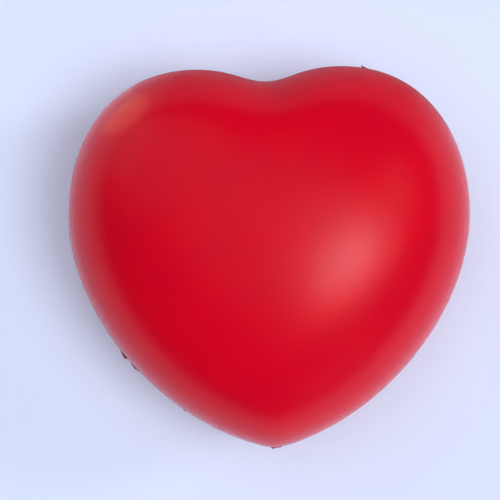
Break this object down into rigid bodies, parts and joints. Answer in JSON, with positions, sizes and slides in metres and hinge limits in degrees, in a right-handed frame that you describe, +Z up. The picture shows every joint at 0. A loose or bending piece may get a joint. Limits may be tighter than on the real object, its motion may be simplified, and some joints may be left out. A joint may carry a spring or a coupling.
{
  "type": "stress ball",
  "caption": "Heart-shaped foam stress ball with a satin coated skin, moulded in two domed halves with a thin seam round the edge, lying on its back.",
  "frame": {"origin": "on the surface that the ball lies on, at the middle of its width and length", "axes": "+Z up, out of the front dome; +Y towards the cleft between the lobes, with the tip at -Y; +X to the right, seen from the front"},
  "size_m": [0.0702, 0.0667, 0.045],
  "materials": {
    "coating": "satin red in-mould coating on a dense foam skin",
    "foam": "open-cell polyurethane foam, matte",
    "seam_film": "thin squeezed-out coating film, darker red, with torn edges"
  },
  "bodies": {
    "back": {"back_skin": "coating", "foam_core": "foam"},
    "waist": {"parting_seam": "seam_film", "flash_tab_right_lobe": "seam_film", "flash_tab_left_upper": "seam_film", "flash_tab_left_lower": "seam_film", "flash_tab_left_flank": "seam_film", "flash_tab_tip": "seam_film"},
    "front": {"front_skin": "coating"}
  },
  "joints": [
    {"name": "squeeze", "type": "slide", "parent": "back", "child": "front", "axis": [0, 0, -1], "range_m": [0, 0.018], "stiffness_N_per_m": 2500, "deforming": ["front_skin", "foam_core", "back_skin"]},
    {"name": "waist_drop", "type": "slide", "parent": "back", "child": "waist", "axis": [0, 0, -1], "range_m": [0, 0.0088]}
  ],
  "couplings": [
    {"joint": "waist_drop", "follows": "squeeze", "ratio": 0.4888}
  ]
}
